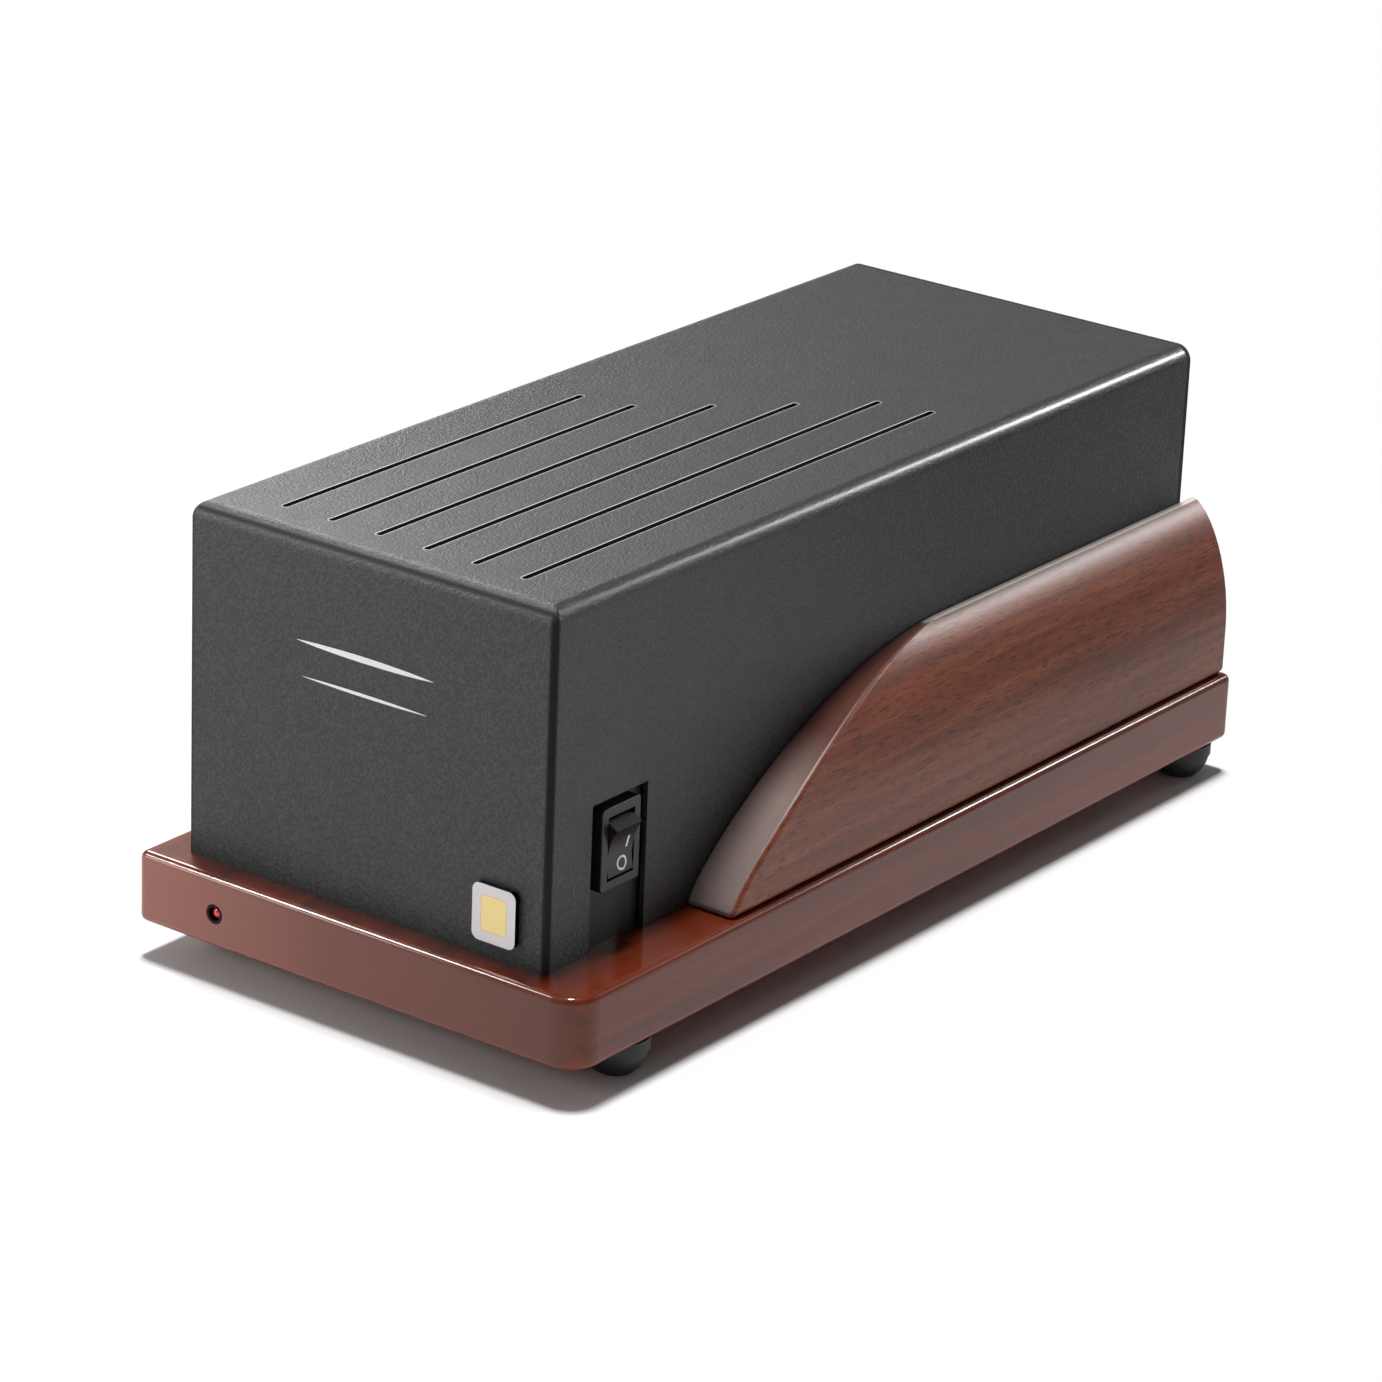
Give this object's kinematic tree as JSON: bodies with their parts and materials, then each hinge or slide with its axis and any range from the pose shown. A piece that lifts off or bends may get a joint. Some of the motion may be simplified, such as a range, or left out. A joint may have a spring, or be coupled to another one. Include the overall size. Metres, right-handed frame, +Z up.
{
  "type": "phono preamplifier",
  "caption": "Free-standing phono preamplifier: wooden base and side fin, slotted black steel cover, side rocker switch, pilot lamp and rear sockets.",
  "frame": {"origin": "on the surface the feet stand on, under the centre of the wooden base", "axes": "+X towards the side with the fin and the rocker switch, +Y to the back with the sockets, +Z up"},
  "size_m": [0.147, 0.309, 0.1278],
  "materials": {
    "base_wood": "solid hardwood with a red-brown stain and satin lacquer",
    "fin_wood": "solid hardwood with a red-brown stain and satin lacquer",
    "cover_coat": "fine-textured satin black powder coat",
    "panel_coat": "satin black powder coat",
    "tray_coat": "matt black powder coat",
    "wood_screw_zinc": "bright zinc plate",
    "black_screw": "black oxide",
    "zinc_steel": "zinc plate",
    "switch_nylon": "moulded black nylon with a fine spark-eroded skin",
    "rocker_nylon": "smooth moulded black nylon",
    "contact_brass": "bright",
    "lamp_red": "clear red epoxy lens",
    "badge_silver": "satin, rolled edge",
    "badge_gold": "satin, pale gold",
    "phono_plating": "gold plate",
    "selector_plastic": "moulded",
    "inlet_plastic": "moulded black polyamide",
    "clear_glass": "clear",
    "cap_nickel": "nickel plate",
    "winding_tape": "wound amber polyester tape",
    "board_laminate": "green solder resist over glass-epoxy",
    "standoff_brass": "nickel-plated brass",
    "can_sleeve": "shrink sleeve",
    "film_box": "epoxy-filled box",
    "sink_black": "black anodised",
    "regulator_epoxy": "moulded epoxy",
    "resistor_enamel": "enamel over ceramic",
    "socket_ceramic": "glazed steatite",
    "electrode_steel": "carbonised nickel",
    "insulator_white": "moulded",
    "insulator_red": "moulded",
    "foot_rubber": "moulded black rubber"
  },
  "bodies": {
    "chassis": {"badge_inlay": "badge_gold", "badge_plate": "badge_silver", "board_screws": "wood_screw_zinc", "board_standoffs": "standoff_brass", "bracket_screws": "wood_screw_zinc", "chassis_tray": "tray_coat", "circuit_board": "board_laminate", "cover": "cover_coat", "cover_screws": "black_screw", "earth_stud": "phono_plating", "electrolytic_capacitors": "can_sleeve", "film_capacitors": "film_box", "fin_screws": "wood_screw_zinc", "foot_screws": "wood_screw_zinc", "front_left_foot": "foot_rubber", "front_right_foot": "foot_rubber", "heat_sink": "sink_black", "inlet_blades": "contact_brass", "inlet_screws": "black_screw", "lamp_holder": "switch_nylon", "lamp_lens": "lamp_red", "mains_inlet": "inlet_plastic", "phono_contacts": "contact_brass", "phono_insulators_inner": "insulator_red", "phono_insulators_outer": "insulator_white", "phono_nuts": "phono_plating", "phono_shell_1": "phono_plating", "phono_shell_2": "phono_plating", "phono_shell_3": "phono_plating", "phono_shell_4": "phono_plating", "rear_left_foot": "foot_rubber", "rear_panel": "panel_coat", "rear_right_foot": "foot_rubber", "regulators": "regulator_epoxy", "resistors": "resistor_enamel", "selector_body": "switch_nylon", "switch_body": "switch_nylon", "switch_bracket": "tray_coat", "switch_terminals": "contact_brass", "transformer_bolt": "zinc_steel", "transformer_coil": "winding_tape", "transformer_dish": "zinc_steel", "transformer_pads": "foot_rubber", "tray_screws": "wood_screw_zinc", "valve_electrodes": "electrode_steel", "valve_glass_1": "clear_glass", "valve_glass_2": "clear_glass", "valve_glass_3": "clear_glass", "valve_pins": "cap_nickel", "valve_sockets": "socket_ceramic", "wood_base": "base_wood", "wood_fin": "fin_wood"},
    "rocker": {"switch_rocker": "rocker_nylon"},
    "fuse_holder": {"fuse_drawer": "inlet_plastic", "fuse_tube": "clear_glass", "fuse_caps": "cap_nickel"},
    "earth_washer_ring": {"earth_washer": "phono_plating"},
    "earth_nut": {"earth_thumb_nut": "phono_plating"},
    "selector": {"selector_slider": "selector_plastic"}
  },
  "joints": [
    {"name": "rocker_tilt", "type": "hinge", "parent": "chassis", "child": "rocker", "pos_m": [0.0525, -0.1177, 0.0575], "axis": [0, -1, 0], "range_deg": [0, 20]},
    {"name": "fuse_drawer_slide", "type": "slide", "parent": "chassis", "child": "fuse_holder", "axis": [0, 1, 0], "range_m": [0, 0.018]},
    {"name": "earth_washer_travel", "type": "slide", "parent": "chassis", "child": "earth_washer_ring", "axis": [0, 1, 0], "range_m": [0, 0.00281]},
    {"name": "earth_nut_turn", "type": "hinge", "parent": "earth_washer_ring", "child": "earth_nut", "pos_m": [-0.0156, 0.1442, 0.0615], "axis": [0, 1, 0], "range_deg": [0, 1440]},
    {"name": "selector_slide", "type": "slide", "parent": "chassis", "child": "selector", "axis": [1, 0, 0], "range_m": [0, 0.004]}
  ],
  "couplings": [
    {"joint": "earth_washer_travel", "follows": "earth_nut_turn", "m_per_rad": 0.00011141}
  ]
}
